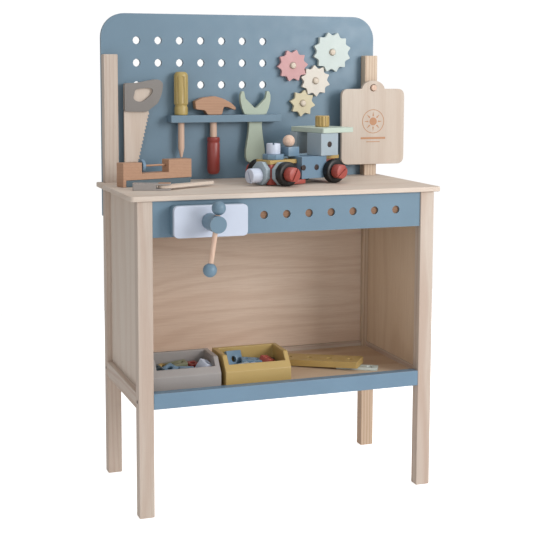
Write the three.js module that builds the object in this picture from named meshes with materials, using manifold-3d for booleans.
// A toy workbench in millimetres, +Z up: a ply frame with a shelf, a pegboard back, a vise, hanging tools,
// toothed wheels, a sign, and the loose pieces that stand on its worktop and shelf.
// Inside this file x runs to the right, y to the back, and z = 0 is the floor under the middle of the bench.
import * as THREE from "three";
import { mergeVertices } from "three/addons/utils/BufferGeometryUtils.js";
import Module from "manifold-3d";

const wasm = await Module();
wasm.setup();

// Driving dimensions
const seat = 0.3; // clearance under or around a loose or turned piece
const bench = { width: 558, depth: 277, legWidth: 27, legDepth: 22, legHeight: 554, postHeight: 803 };
const rail = { bottom: 192, top: 220, thickness: 18 };
const shelf = { top: 211, thickness: 8 };
const panel = { thickness: 6, setback: 10 };
const worktop = { thickness: 9, sideOverhang: 12.2, frontOverhang: 5, cornerRadius: 8 };
const pegboard = { bottom: 498, top: 880, thickness: 9, cornerRadius: 45 };
const pegHoles = { radius: 7.5, pitch: 42.2, firstX: -210.8, topZ: 829.6, columns: 7, rows: 3 };
const apron = { bottom: 491, thickness: 14, setback: 3 };
const apronHoles = { radius: 7.5, pitch: 42.35, firstX: -50.9, z: 523, count: 7 };
const rack = { left: -152, right: 70.5, bottom: 674, top: 688, depth: 30 };
const vise = { x: -156, z: 519.5, width: 131, height: 54.5, fixedDepth: 19, jawDepth: 10, jawGap: 0.5 };
const viseHub = { x: -159, radius: 14.5, length: 50, rodRadius: 8, rodLength: 68 };
const viseHandle = { radius: 4.3, ballRadius: 12, ballSpacing: 105, tilt: 8.6, fromHubEnd: 12 };
const gearPlate = { thickness: 9, boreRadius: 7, gapBehind: 1.5, pinRadius: 6.2, pinDome: 5 };
const sign = { x: 265.5, pegZ: 739.2, width: 137, top: 737, bottom: 586, thickness: 9, gapBehind: 2.8 };
const screwdriver = { x: -128.4, y: 123.5, radius: 13.4, top: 770.7, shaftRadius: 6, tip: 607 };
const hammer = { x: -63.3, y: 125.5, thickness: 20, shaftRadius: 6.7 };
const hammerGrip = { radius: 12.3, top: 645, end: 572.7 };
const wrench = { x: 20.5, y: 123.5, thickness: 10 };
const saw = { left: -238.7, blade: 6, overlay: 6, back: 133 };
const clamp = { x: -267.1, y: 14.5, turn: 15.6, length: 144, depth: 25 };
const clampHeights = { foot: 12, leftTop: 43.5, rightTop: 46.5, cheek: 6 };
const clampNotch = { from: 38.5, to: 95, floor: 23.5, axis: 36.5, padRadius: 11.5, rodRadius: 1.8 };
const rule = { x: -263.8, y: -41.2, turn: -17.7, length: 67, width: 22, height: 12, pivot: 55.6 };
const ruleBlade = { length: 118, width: 22, tipWidth: 9, thickness: 5, turn: 43.6, pinRadius: 3.5 };
const kit = { cube: 42, plate: 8, holePitch: 40, holeRadius: 5.5, cornerRadius: 3 };
const truck = { x: 77.2, y: -41, turn: 198.2, width: 100, frontAxle: 55, rearAxle: -59 };
const truckTyre = { radius: 22.3, width: 14.5, rim: 1.5 };
const truckBody = { rear: -47, front: 13, near: -15, bottom: 10, top: 51, hole: -23, hoodDeck: 38.5 };
const truckRoof = { rear: -110, front: -34, near: -10, far: -107, thickness: 9.5 };
const truckBolt = { radius: 13.2, length: 18, axleRadius: 4.8, axleLength: 22 };
const bin = { width: 125, depth: 87, height: 54, frontHeight: 28, topDepth: 65, wall: 9, frontY: -107 };
const looseBar = { x: 108, y: -8, width: 52, thickness: 12, turn: -37, tilt: 2, holes: 4 };
const facets = { small: 20, medium: 28, large: 36 };

const degrees = THREE.MathUtils.degToRad;
const halfWidth = bench.width / 2;
const halfDepth = bench.depth / 2;
const innerX = halfWidth - bench.legWidth;
const innerY = halfDepth - bench.legDepth;
const topFace = bench.legHeight + worktop.thickness;

function finish(color, roughness) {
  return new THREE.MeshStandardMaterial({ color, roughness, metalness: 0 });
}

const palePly = finish(0xdccab4, 0.62);
const beech = finish(0xc99b74, 0.55);
const dowelWood = finish(0xe0bfa6, 0.5);
const dustyBlue = finish(0x6f90a8, 0.6);
const stainedBlue = finish(0x7ba0bd, 0.58);
const lightBlue = finish(0xa5bccb, 0.58);
const deepTeal = finish(0x4a626b, 0.6);
const white = finish(0xdfe3ec, 0.5);
const pink = finish(0xd3a0a2, 0.6);
const mint = finish(0xccd6d2, 0.6);
const cream = finish(0xe8ddd6, 0.6);
const straw = finish(0xdcc9a6, 0.6);
const sage = finish(0xa9b3a2, 0.6);
const mustard = finish(0xbfa05c, 0.6);
const taupe = finish(0xa09a98, 0.6);
const brick = finish(0x8f362c, 0.45);
const coral = finish(0xb95348, 0.5);
const tyreBlack = finish(0x1f1d1e, 0.6);

// Solids for cutting and joining
function solid(geometry) {
  const bare = geometry.index ? geometry.toNonIndexed() : geometry.clone();
  bare.deleteAttribute("normal");
  bare.deleteAttribute("uv");
  const merged = mergeVertices(bare, 1e-4);
  const vertProperties = merged.attributes.position.array;
  const triVerts = new Uint32Array(merged.index.array);
  return new wasm.Manifold(new wasm.Mesh({ numProp: 3, vertProperties, triVerts }));
}

function geometryOf(manifold) {
  const mesh = manifold.getMesh();
  const geometry = new THREE.BufferGeometry();
  geometry.setAttribute("position", new THREE.BufferAttribute(mesh.vertProperties, 3));
  geometry.setIndex(new THREE.BufferAttribute(mesh.triVerts, 1));
  geometry.computeVertexNormals();
  return geometry;
}

function cut(geometry, ...tools) {
  return geometryOf(tools.reduce((left, tool) => left.subtract(solid(tool)), solid(geometry)));
}

function join(geometry, ...others) {
  return geometryOf(others.reduce((sum, other) => sum.add(solid(other)), solid(geometry)));
}

// Building blocks
function block(low, high) {
  const size = high.map((value, axis) => value - low[axis]);
  const middle = high.map((value, axis) => (value + low[axis]) / 2);
  return new THREE.BoxGeometry(...size).translate(...middle);
}

function outline(points) {
  return new THREE.Shape(points.map(([x, y]) => new THREE.Vector2(x, y)));
}

function roundedOutline(points, radius) {
  const shape = new THREE.Shape();
  points.forEach(([x, y], index) => {
    const [beforeX, beforeY] = points.at(index - 1);
    const [afterX, afterY] = points[(index + 1) % points.length];
    const inLength = Math.hypot(x - beforeX, y - beforeY);
    const outLength = Math.hypot(afterX - x, afterY - y);
    const inShare = Math.min(radius / inLength, 0.5);
    const outShare = Math.min(radius / outLength, 0.5);
    const startX = x + (beforeX - x) * inShare;
    const startY = y + (beforeY - y) * inShare;
    if (index === 0) shape.moveTo(startX, startY);
    else shape.lineTo(startX, startY);
    shape.quadraticCurveTo(x, y, x + (afterX - x) * outShare, y + (afterY - y) * outShare);
  });
  shape.closePath();
  return shape;
}

function rectangle(left, right, bottom, top) {
  return [
    [left, bottom],
    [right, bottom],
    [right, top],
    [left, top],
  ];
}

function addHole(shape, x, y, radius) {
  const hole = new THREE.Path();
  hole.absarc(x, y, radius, 0, 2 * Math.PI, true);
  shape.holes.push(hole);
}

// A plate lying flat, from z = bottom upwards.
function flatPlate(shape, bottom, thickness, curveSegments = facets.small / 4) {
  const options = { depth: thickness, bevelEnabled: false, curveSegments };
  return new THREE.ExtrudeGeometry(shape, options).translate(0, 0, bottom);
}

// A plate standing across the bench: the shape's second axis is z, and back is its largest y.
function standingPlate(shape, back, thickness, curveSegments = facets.small / 4) {
  return flatPlate(shape, 0, thickness, curveSegments).rotateX(Math.PI / 2).translate(0, back, 0);
}

// A turned piece around the z axis, from [radius, z] points that start and end on the axis.
function turned(points, segments = facets.medium) {
  const profile = points.map(([r, z]) => new THREE.Vector2(r, z));
  return new THREE.LatheGeometry(profile, segments).rotateX(Math.PI / 2);
}

function rod(radius, bottom, top, segments = facets.small) {
  return turned([[0, bottom], [radius, bottom], [radius, top], [0, top]], segments);
}

// Turns a piece made along z so that its top points to the front, along -y.
function facingFront(geometry, x, z) {
  return geometry.rotateX(Math.PI / 2).translate(x, 0, z);
}

const workbench = new THREE.Group();

function add(parent, name, geometry, material) {
  const mesh = new THREE.Mesh(geometry, material);
  mesh.name = name;
  parent.add(mesh);
  return mesh;
}

function placedGroup(x, y, z, turn) {
  const group = new THREE.Group();
  group.position.set(x, y, z);
  group.rotation.z = degrees(turn);
  workbench.add(group);
  return group;
}

// Frame
function addLegs() {
  for (const [side, name] of [[-1, "left"], [1, "right"]]) {
    const xs = side < 0 ? [-halfWidth, -innerX] : [innerX, halfWidth];
    const front = block([xs[0], -halfDepth, 0], [xs[1], -innerY, bench.legHeight]);
    const rear = block([xs[0], innerY, 0], [xs[1], halfDepth, bench.postHeight]);
    add(workbench, `front_${name}_leg`, front, palePly);
    add(workbench, `rear_${name}_post`, rear, palePly);
  }
}

function addRailsAndPanels() {
  const inside = halfWidth - rail.thickness;
  const insideY = halfDepth - rail.thickness;
  for (const [side, name] of [[-1, "left"], [1, "right"]]) {
    const railX = [side * halfWidth, side * inside].sort((a, b) => a - b);
    const outer = halfWidth - panel.setback;
    const panelX = [side * outer, side * (outer - panel.thickness)].sort((a, b) => a - b);
    const railSolid = block([railX[0], -innerY, rail.bottom], [railX[1], innerY, rail.top]);
    const panelSolid = block([panelX[0], -innerY, rail.top], [panelX[1], innerY, bench.legHeight]);
    add(workbench, `${name}_side_rail`, railSolid, palePly);
    add(workbench, `${name}_side_panel`, panelSolid, palePly);
  }
  const frontRail = block([-innerX, -halfDepth, rail.bottom], [innerX, -insideY, rail.top]);
  const rearRail = block([-innerX, insideY, rail.bottom], [innerX, halfDepth, rail.top]);
  const back = halfDepth - panel.thickness;
  const backPanel = block([-innerX, back - panel.thickness, rail.top], [innerX, back, bench.legHeight]);
  add(workbench, "shelf_front_rail", frontRail, stainedBlue);
  add(workbench, "rear_rail", rearRail, palePly);
  add(workbench, "back_panel", backPanel, palePly);
  const floor = outline([
    [-innerX, -insideY], [innerX, -insideY], [innerX, -innerY], [inside, -innerY],
    [inside, innerY], [innerX, innerY], [innerX, insideY], [-innerX, insideY],
    [-innerX, innerY], [-inside, innerY], [-inside, -innerY], [-innerX, -innerY],
  ]);
  add(workbench, "shelf_board", flatPlate(floor, shelf.top - shelf.thickness, shelf.thickness), palePly);
}

function addWorktop() {
  const side = halfWidth + worktop.sideOverhang;
  const front = -halfDepth - worktop.frontOverhang;
  const r = worktop.cornerRadius;
  const shape = new THREE.Shape();
  shape.moveTo(-side, front + r);
  shape.absarc(-side + r, front + r, r, Math.PI, 1.5 * Math.PI);
  shape.absarc(side - r, front + r, r, 1.5 * Math.PI, 2 * Math.PI);
  const notch = [
    [side, halfDepth], [halfWidth, halfDepth], [halfWidth, innerY], [innerX, innerY], [innerX, halfDepth],
  ];
  for (const [x, y] of notch) shape.lineTo(x, y);
  for (const [x, y] of notch.reverse()) shape.lineTo(-x, y);
  shape.closePath();
  add(workbench, "worktop", flatPlate(shape, bench.legHeight, worktop.thickness), palePly);
}

function addPegboard() {
  const { bottom, top, cornerRadius: r } = pegboard;
  const shape = new THREE.Shape();
  shape.moveTo(-halfWidth, bottom);
  shape.lineTo(halfWidth, bottom);
  shape.absarc(halfWidth - r, top - r, r, 0, Math.PI / 2);
  shape.absarc(-halfWidth + r, top - r, r, Math.PI / 2, Math.PI);
  shape.closePath();
  for (let row = 0; row < pegHoles.rows; row++) {
    for (let column = 0; column < pegHoles.columns; column++) {
      const x = pegHoles.firstX + column * pegHoles.pitch;
      addHole(shape, x, pegHoles.topZ - row * pegHoles.pitch, pegHoles.radius);
    }
  }
  const back = halfDepth + pegboard.thickness;
  add(workbench, "pegboard", standingPlate(shape, back, pegboard.thickness), dustyBlue);
}

function addApron() {
  const shape = outline(rectangle(-innerX, innerX, apron.bottom, bench.legHeight));
  for (let index = 0; index < apronHoles.count; index++) {
    addHole(shape, apronHoles.firstX + index * apronHoles.pitch, apronHoles.z, apronHoles.radius);
  }
  addHole(shape, viseHub.x, vise.z, viseHub.rodRadius + 1);
  const back = -halfDepth + apron.setback + apron.thickness;
  add(workbench, "front_apron", standingPlate(shape, back, apron.thickness), dustyBlue);
}

// The rack is a bar with slots that open towards the pegboard, so each tool's lower end drops through.
function addRack() {
  const front = halfDepth - rack.depth;
  const slotHalf = { hammer: 13, wrench: 21 };
  const lip = { hammer: front + 4, wrench: front + 9 };
  const shape = outline([
    [rack.left, front], [rack.right, front], [rack.right, halfDepth],
    [wrench.x + slotHalf.wrench, halfDepth], [wrench.x + slotHalf.wrench, lip.wrench],
    [wrench.x - slotHalf.wrench, lip.wrench], [wrench.x - slotHalf.wrench, halfDepth],
    [hammer.x + slotHalf.hammer, halfDepth], [hammer.x + slotHalf.hammer, lip.hammer],
    [hammer.x - slotHalf.hammer, lip.hammer], [hammer.x - slotHalf.hammer, halfDepth],
    [rack.left, halfDepth],
  ]);
  addHole(shape, screwdriver.x, screwdriver.y, screwdriver.shaftRadius + 1);
  add(workbench, "tool_rack", flatPlate(shape, rack.bottom, rack.top - rack.bottom), dustyBlue);
}

// Vise
function addVise() {
  const left = vise.x - vise.width / 2;
  const right = vise.x + vise.width / 2;
  const bottom = vise.z - vise.height / 2;
  const jaw = roundedOutline(rectangle(left, right, bottom, bottom + vise.height), 9);
  addHole(jaw, viseHub.x, vise.z, viseHub.rodRadius + 1);
  const fixedBack = -halfDepth + apron.setback;
  const jawBack = fixedBack - vise.fixedDepth - vise.jawGap;
  const hubBack = jawBack - vise.jawDepth - seat;
  add(workbench, "vise_fixed_jaw", standingPlate(jaw, fixedBack, vise.fixedDepth), dustyBlue);
  add(workbench, "vise_moving_jaw", standingPlate(jaw, jawBack, vise.jawDepth), white);

  const tilt = degrees(viseHandle.tilt);
  const handleY = hubBack - viseHub.length + viseHandle.fromHubEnd;
  const along = (geometry) => geometry.rotateY(tilt).translate(viseHub.x, handleY, vise.z);
  const hubRod = rod(viseHub.radius, -hubBack, -hubBack + viseHub.length, facets.large);
  const hub = facingFront(hubRod, viseHub.x, vise.z);
  const crossHole = along(rod(viseHandle.radius + 0.5, -2 * viseHub.radius, 2 * viseHub.radius));
  add(workbench, "vise_hub", cut(hub, crossHole), dustyBlue);
  const screw = rod(viseHub.rodRadius, -hubBack - viseHub.rodLength, -hubBack);
  add(workbench, "vise_screw_rod", facingFront(screw, viseHub.x, vise.z), dowelWood);

  const upper = viseHub.radius + viseHandle.ballRadius + seat;
  const lower = upper - viseHandle.ballSpacing;
  const reach = viseHandle.ballRadius * 0.95;
  const handle = rod(viseHandle.radius, lower + reach, upper - reach);
  add(workbench, "vise_handle_rod", along(handle), dowelWood);
  const ballSegments = facets.small;
  for (const [name, height] of [["vise_upper_ball", upper], ["vise_lower_ball", lower]]) {
    const ball = new THREE.SphereGeometry(viseHandle.ballRadius, ballSegments, ballSegments * 0.6);
    const socket = rod(viseHandle.radius + 0.1, lower + reach - 0.1, upper - reach + 0.1);
    add(workbench, name, along(cut(ball.rotateX(Math.PI / 2).translate(0, 0, height), socket)), dustyBlue);
  }
}

// Toothed wheels: the cream one in the middle drives the other three.
const gears = {
  cream: { x: 150, z: 752.9, teeth: 10, tip: 31, root: 25, material: cream },
  pink: { x: 101.7, z: 782.9, teeth: 10, tip: 31.5, root: 25.5, material: pink },
  mint: { x: 185.5, z: 809.5, teeth: 12, tip: 39.8, root: 33.6, material: mint },
  straw: { x: 123, z: 708.6, teeth: 8, tip: 26.3, root: 20, material: straw },
};

function towards(from, to) {
  return Math.atan2(to.z - from.z, to.x - from.x);
}

// A tooth points along the given angle, and each tip and valley is a short flat.
function gearShape({ x, z, teeth, tip, root }, toothAngle) {
  const pitch = (2 * Math.PI) / teeth;
  const tipHalf = 0.7 / tip;
  const valleyHalf = 1.6 / root;
  const points = [];
  for (let tooth = 0; tooth < teeth; tooth++) {
    const middle = toothAngle + tooth * pitch;
    const corners = [
      [tip, -tipHalf], [tip, tipHalf], [root, pitch / 2 - valleyHalf], [root, pitch / 2 + valleyHalf],
    ];
    for (const [radius, angle] of corners) {
      points.push([x + radius * Math.cos(middle + angle), z + radius * Math.sin(middle + angle)]);
    }
  }
  const shape = outline(points);
  addHole(shape, x, z, gearPlate.boreRadius);
  return shape;
}

function addGears() {
  const { cream: middle, pink: upper, mint: large, straw: small } = gears;
  const halfPitch = (gear) => Math.PI / gear.teeth;
  const toothAngles = new Map([
    [middle, towards(middle, upper) - halfPitch(middle)],
    [upper, towards(upper, middle)],
    [large, towards(large, middle) - halfPitch(large)],
    [small, towards(small, middle) - halfPitch(small)],
  ]);
  const back = halfDepth - gearPlate.gapBehind;
  for (const [name, gear] of Object.entries(gears)) {
    const plate = standingPlate(gearShape(gear, toothAngles.get(gear)), back, gearPlate.thickness);
    add(workbench, `${name}_gear`, plate, gear.material);
    const shoulder = gearPlate.gapBehind + gearPlate.thickness + 1;
    const { pinRadius: r, pinDome } = gearPlate;
    const dome = [[r * 0.8, shoulder + pinDome * 0.65], [0, shoulder + pinDome]];
    const pin = facingFront(turned([[0, 0], [r, 0], [r, shoulder], ...dome]), gear.x, gear.z);
    add(workbench, `${name}_gear_pin`, pin.translate(0, halfDepth, 0), dowelWood);
  }
}

// The sign hangs on a peg in the front of the right post.
function addSign() {
  const half = sign.width / 2;
  const back = innerY - sign.gapBehind;
  const board = standingPlate(
    roundedOutline(rectangle(sign.x - half, sign.x + half, sign.bottom, sign.top), 15),
    back,
    sign.thickness,
  );
  const tabRadius = 25;
  const tabShape = new THREE.Shape();
  tabShape.absellipse(sign.x, sign.top - 2, tabRadius, 18.5, 0, Math.PI);
  tabShape.closePath();
  const tab = standingPlate(tabShape, back, sign.thickness, facets.large / 2);
  const boreRadius = 7;
  const bore = facingFront(rod(boreRadius, -back - 1, -back + sign.thickness + 1), sign.x, sign.pegZ);
  add(workbench, "sign_board", cut(join(board, tab), bore), palePly);
  const reach = sign.gapBehind + sign.thickness + 4;
  const peg = turned([[0, 0], [6, 0], [6, reach - 1], [5, reach], [0, reach]]);
  add(workbench, "sign_peg", facingFront(peg, sign.x, sign.pegZ).translate(0, innerY, 0), dowelWood);
}

// Tools
function addScrewdriver() {
  const { radius: r, top, shaftRadius, tip } = screwdriver;
  const base = rack.top + seat;
  const neck = base + 18.5;
  const handle = turned([
    [0, base], [r - 1, base], [r - 0.4, base + 2], [r - 0.4, neck - 4], [r - 2, neck], [r, neck + 3],
    [r, top - 8], [r - 1.5, top - 3], [r - 4.5, top], [0, top],
  ]);
  const shaftPoints = [[0, tip], [2, tip], [shaftRadius, tip + 18], [shaftRadius, base], [0, base]];
  const shaft = turned(shaftPoints, facets.small);
  add(workbench, "screwdriver_handle", handle.translate(screwdriver.x, screwdriver.y, 0), mustard);
  add(workbench, "screwdriver_shaft", shaft.translate(screwdriver.x, screwdriver.y, 0), dowelWood);
}

function addHammer() {
  const neck = rack.top + seat;
  const headPoints = [
    [-39.3, 26], [-37.8, 10.6], [-19.4, 8.6], [-14.6, 0], [14.6, 0], [18.2, 15], [27, 14.5], [41, 8.2],
    [43.6, 12.4], [33.2, 22.4], [17.9, 30.6], [0.9, 35.6], [-24.2, 32.8],
  ];
  const placed = headPoints.map(([x, z]) => [hammer.x + x, neck + z]);
  const back = hammer.y + hammer.thickness / 2;
  add(workbench, "hammer_head", standingPlate(roundedOutline(placed, 3), back, hammer.thickness, 3), beech);
  const shaft = rod(hammer.shaftRadius, hammerGrip.top, neck);
  add(workbench, "hammer_shaft", shaft.translate(hammer.x, hammer.y, 0), dowelWood);
  const { radius: r, top, end } = hammerGrip;
  const grip = turned([
    [0, end], [r * 0.55, end], [r * 0.85, end + 2.5], [r, end + 8], [r, top - 12],
    [r - 1, top - 10], [r, top - 8], [r, top - 1.5], [r - 1.5, top], [0, top],
  ]);
  add(workbench, "hammer_grip", grip.translate(hammer.x, hammer.y, 0), brick);
}

function addWrench() {
  const ledge = rack.top + seat;
  const rightSide = [
    [0, 592], [9, 592.8], [16.5, 596.5], [20, 605], [19.5, 620], [15, 648], [13, 668], [15, 680],
    [18, ledge], [22.5, ledge], [27.5, 700], [31, 714], [31, 726], [28, 733], [23.5, 733], [20.3, 719],
    [1.7, 701],
  ];
  const leftSide = rightSide.slice(1).reverse().map(([x, z]) => [-x, z]);
  const points = [...rightSide, ...leftSide].map(([x, z]) => [wrench.x + x, z]);
  const back = wrench.y + wrench.thickness / 2;
  add(workbench, "wrench", standingPlate(outline(points), back, wrench.thickness), sage);
}

// The blade runs up behind the handle, which is a plate on its front.
function addSaw() {
  const foot = topFace + seat;
  const shoulder = { x: 47.1, z: 696 };
  const handlePoints = [
    [0, 696], [43.5, 695], [50.3, 700.9], [64.5, 711.1], [72.5, 729.8], [75, 748.6], [68, 755.4], [60, 756.4],
    [24, 749.5], [0, 749.2],
  ].map(([x, z]) => [saw.left + x, z]);
  const toothCount = 19;
  const toothDepth = 3;
  const tipX = 16.5;
  const bladePoints = [[0, foot], [tipX, foot]];
  for (let tooth = 0; tooth < toothCount; tooth++) {
    for (const [share, depth] of [[0.15, toothDepth], [1, 0]]) {
      const along = (tooth + share) / toothCount;
      bladePoints.push([tipX + (shoulder.x - tipX) * along + depth, foot + (shoulder.z - foot) * along]);
    }
  }
  const blade = outline(bladePoints.concat([[0, shoulder.z]]).map(([x, z]) => [saw.left + x, z]));
  const tang = roundedOutline(handlePoints, 5);
  const handle = roundedOutline(handlePoints, 5);
  const grip = [
    [16.4, 720], [22.7, 715], [34.8, 714], [43.6, 720], [53, 728.7], [54.9, 738], [45.3, 740.6],
    [20.8, 737.4],
  ];
  const aperture = roundedOutline(grip.map(([x, z]) => [saw.left + x, z]), 4);
  handle.holes.push(new THREE.Path(aperture.getPoints(3).reverse()));
  const lap = block([saw.left + 1, saw.back - saw.blade, 690], [saw.left + 43, saw.back, 705]);
  const tangPlate = standingPlate(tang, saw.back, saw.blade, 4);
  const bladeBody = join(standingPlate(blade, saw.back, saw.blade), tangPlate, lap);
  add(workbench, "saw_blade", bladeBody, palePly);
  add(workbench, "saw_handle", standingPlate(handle, saw.back - saw.blade, saw.overlay, 4), taupe);
}

// A small clamp on the worktop: a beech frame over a base strip, and a pad on a rod that slides in one arm.
function addClamp() {
  const group = placedGroup(clamp.x, clamp.y, topFace + seat, clamp.turn);
  const { from, to, floor, axis, padRadius, rodRadius } = clampNotch;
  const { foot, leftTop, rightTop, cheek } = clampHeights;
  const frame = standingPlate(
    outline([
      [0, 0], [cheek, 0], [cheek, foot + seat], [clamp.length, foot + seat], [clamp.length, rightTop],
      [to, rightTop], [to, floor], [from, floor], [from, leftTop], [0, leftTop],
    ]),
    clamp.depth,
    clamp.depth,
  );
  const alongX = (geometry) => geometry.rotateY(Math.PI / 2).translate(0, clamp.depth / 2, axis);
  const bore = alongX(rod(rodRadius + 0.5, to - 1, clamp.length + 1));
  add(group, "clamp_frame", cut(frame, bore), beech);
  const strip = block([cheek + seat, 1, 0], [clamp.length - 1, clamp.depth - 1, foot]);
  add(group, "clamp_base", strip, deepTeal);
  const padStart = from + 3.5;
  const padEnd = padStart + 6;
  add(group, "clamp_pad", alongX(rod(padRadius, padStart, padEnd, facets.medium)), stainedBlue);
  add(group, "clamp_rod", alongX(rod(rodRadius, padEnd, clamp.length - 4, 12)), dowelWood);
}

// A sliding bevel: the blade turns on a pin in the slotted stock.
function addRule() {
  const group = placedGroup(rule.x, rule.y, topFace + seat, rule.turn);
  const middle = rule.width / 2;
  const bladeZ = (rule.height - ruleBlade.thickness) / 2;
  const stock = flatPlate(roundedOutline(rectangle(0, rule.length, 0, rule.width), 3), 0, rule.height);
  const slotFrom = rule.pivot - ruleBlade.width / 2 - 3;
  const slotTop = bladeZ + ruleBlade.thickness + 0.5;
  const slot = block([slotFrom, -1, bladeZ - 0.5], [rule.length + 1, rule.width + 1, slotTop]);
  const pinHole = rod(ruleBlade.pinRadius + seat, -1, rule.height + 1).translate(rule.pivot, middle, 0);
  add(group, "rule_stock", cut(stock, slot, pinHole), taupe);
  add(group, "rule_pin", rod(ruleBlade.pinRadius, 0, rule.height).translate(rule.pivot, middle, 0), coral);
  const r = ruleBlade.width / 2;
  const shape = new THREE.Shape();
  shape.absarc(0, 0, r, Math.PI / 2, 1.5 * Math.PI);
  const tipRadius = ruleBlade.tipWidth / 2;
  shape.lineTo(ruleBlade.length - tipRadius, -tipRadius);
  shape.absarc(ruleBlade.length - tipRadius, 0, tipRadius, -Math.PI / 2, Math.PI / 2);
  shape.closePath();
  addHole(shape, 0, 0, ruleBlade.pinRadius + 0.4);
  const blade = flatPlate(shape, bladeZ, ruleBlade.thickness, 8);
  add(group, "rule_blade", blade.rotateZ(degrees(ruleBlade.turn)).translate(rule.pivot, middle, 0), palePly);
}

// A bar of the building kit, lying flat and centred on the origin, with a row of holes along its middle.
function kitBarShape(length, width, holes) {
  const shape = roundedOutline(rectangle(-length / 2, length / 2, -width / 2, width / 2), kit.cornerRadius);
  for (let index = 0; index < holes; index++) {
    addHole(shape, (index - (holes - 1) / 2) * kit.holePitch, 0, kit.holeRadius);
  }
  return shape;
}

// A truck bolted together from kit pieces. Its own x is forwards, its own y the side nearest the front.
function addTruck() {
  const group = placedGroup(truck.x, truck.y, topFace + seat, truck.turn);
  const middle = -truck.width / 2;
  const half = kit.cube / 2;
  const axleZ = truckTyre.radius;
  const [base, deck] = [axleZ - half, axleZ + half];
  const [far, near] = [middle - half, middle + half];
  const { front: bodyFront, rear: bodyRear, near: bodyNear, bottom, top, hoodDeck } = truckBody;
  const alongY = (geometry, x, z) => geometry.rotateX(-Math.PI / 2).translate(x, 0, z);
  const axleBore = (x) => alongY(rod(truckBolt.axleRadius + 0.6, -truck.width, 0), x, axleZ);

  const rearEnd = truck.rearAxle - half;
  const frontEnd = truck.frontAxle + half;
  const sideOutline = outline([
    [rearEnd, base], [frontEnd, base], [frontEnd, hoodDeck], [frontEnd - kit.cube, hoodDeck],
    [frontEnd - kit.cube, bottom - seat], [bodyRear - seat, bottom - seat], [bodyRear - seat, deck],
    [rearEnd, deck],
  ]);
  const chassis = standingPlate(sideOutline, near, kit.cube);
  add(group, "truck_chassis", cut(chassis, axleBore(truck.frontAxle), axleBore(truck.rearAxle)), coral);

  const bodyBlock = block([bodyRear, bodyNear - kit.cube, bottom], [bodyFront, bodyNear, top]);
  const crossHole = (near, x, z) => alongY(rod(kit.holeRadius, near - kit.cube - 1, near + 1), x, z);
  const bodyHole = crossHole(bodyNear, truckBody.hole, axleZ + 8);
  add(group, "truck_body_block", cut(bodyBlock, bodyHole), stainedBlue);
  const hood = block([bodyFront + seat, far, hoodDeck + seat], [frontEnd + 1, near, hoodDeck + kit.plate]);
  add(group, "truck_hood_plate", hood, mustard);

  const cabFront = truckRoof.front + 3;
  const cabNear = truckRoof.near - 2;
  const [cabBase, cabTop] = [top + seat, top + seat + kit.cube];
  const cab = block([cabFront - kit.cube, cabNear - kit.cube, cabBase], [cabFront, cabNear, cabTop]);
  const cabHole = crossHole(cabNear, cabFront - half, cabBase + half);
  add(group, "truck_cab_block", cut(cab, cabHole), lightBlue);
  const { rear: roofRear, front: roofFront, near: roofNear, far: roofFar, thickness } = truckRoof;
  const roofShape = kitBarShape(roofNear - roofFar, roofFront - roofRear, 2);
  const roof = flatPlate(roofShape, cabTop + seat, thickness).rotateZ(Math.PI / 2);
  add(group, "truck_roof", roof.translate((roofFront + roofRear) / 2, (roofNear + roofFar) / 2, 0), mint);

  // Each wheel is one turned piece: the stub axle in the chassis, the tyre, and the bolt head outside it.
  const { radius: boltRadius, length: boltLength, axleRadius, axleLength } = truckBolt;
  const { radius: r, width: wheelWidth, rim } = truckTyre;
  const wheel = turned(
    [
      [0, -wheelWidth - axleLength], [axleRadius, -wheelWidth - axleLength], [axleRadius, -wheelWidth],
      [r - rim, -wheelWidth], [r, rim - wheelWidth], [r, -rim], [r - rim, 0],
      [boltRadius, 0], [boltRadius, boltLength - rim], [boltRadius - rim, boltLength], [0, boltLength],
    ],
    facets.large,
  );
  for (const [end, x] of [["front", truck.frontAxle], ["rear", truck.rearAxle]]) {
    add(group, `truck_${end}_near_wheel`, alongY(wheel.clone(), x, axleZ), tyreBlack);
    const farWheel = wheel.clone().rotateX(Math.PI / 2).translate(x, -truck.width, axleZ);
    add(group, `truck_${end}_far_wheel`, farWheel, tyreBlack);
  }
}

// Storage on the shelf
function addBins() {
  const profile = outline([
    [0, 0], [bin.depth, 0], [bin.depth, bin.height], [bin.depth - bin.topDepth, bin.height],
    [0, bin.frontHeight],
  ]);
  const along = flatPlate(profile, 0, bin.width).rotateY(Math.PI / 2).rotateX(Math.PI / 2);
  const inside = block(
    [bin.wall, bin.wall + 1, bin.wall - 1],
    [bin.width - bin.wall, bin.depth - bin.wall, bin.height + 1],
  );
  const shape = cut(along, inside);
  for (const [name, left, material] of [["grey_bin", -245.4, taupe], ["yellow_bin", -112.3, mustard]]) {
    add(workbench, name, shape.clone().translate(left, bin.frontY, shelf.top + seat), material);
  }
}

// The bar lies on the shelf with one end raised.
function addLooseBar() {
  const length = looseBar.holes * kit.holePitch;
  const tilt = degrees(looseBar.tilt);
  const rise = (length / 2) * Math.sin(tilt);
  const group = placedGroup(looseBar.x, looseBar.y, shelf.top + seat + rise, looseBar.turn);
  const bar = flatPlate(kitBarShape(length, looseBar.width, looseBar.holes), 0, looseBar.thickness);
  add(group, "yellow_bar", bar.rotateY(-tilt), mustard);
}

addLegs();
addRailsAndPanels();
addWorktop();
addPegboard();
addApron();
addRack();
addVise();
addGears();
addSign();
addScrewdriver();
addHammer();
addWrench();
addSaw();
addClamp();
addRule();
addTruck();
addBins();
addLooseBar();

// The part's own origin is the middle of its bounding box, at floor height.
const bounds = new THREE.Box3().setFromObject(workbench);
const centre = bounds.getCenter(new THREE.Vector3());
workbench.position.set(-centre.x, -centre.y, -bounds.min.z);

export default workbench;
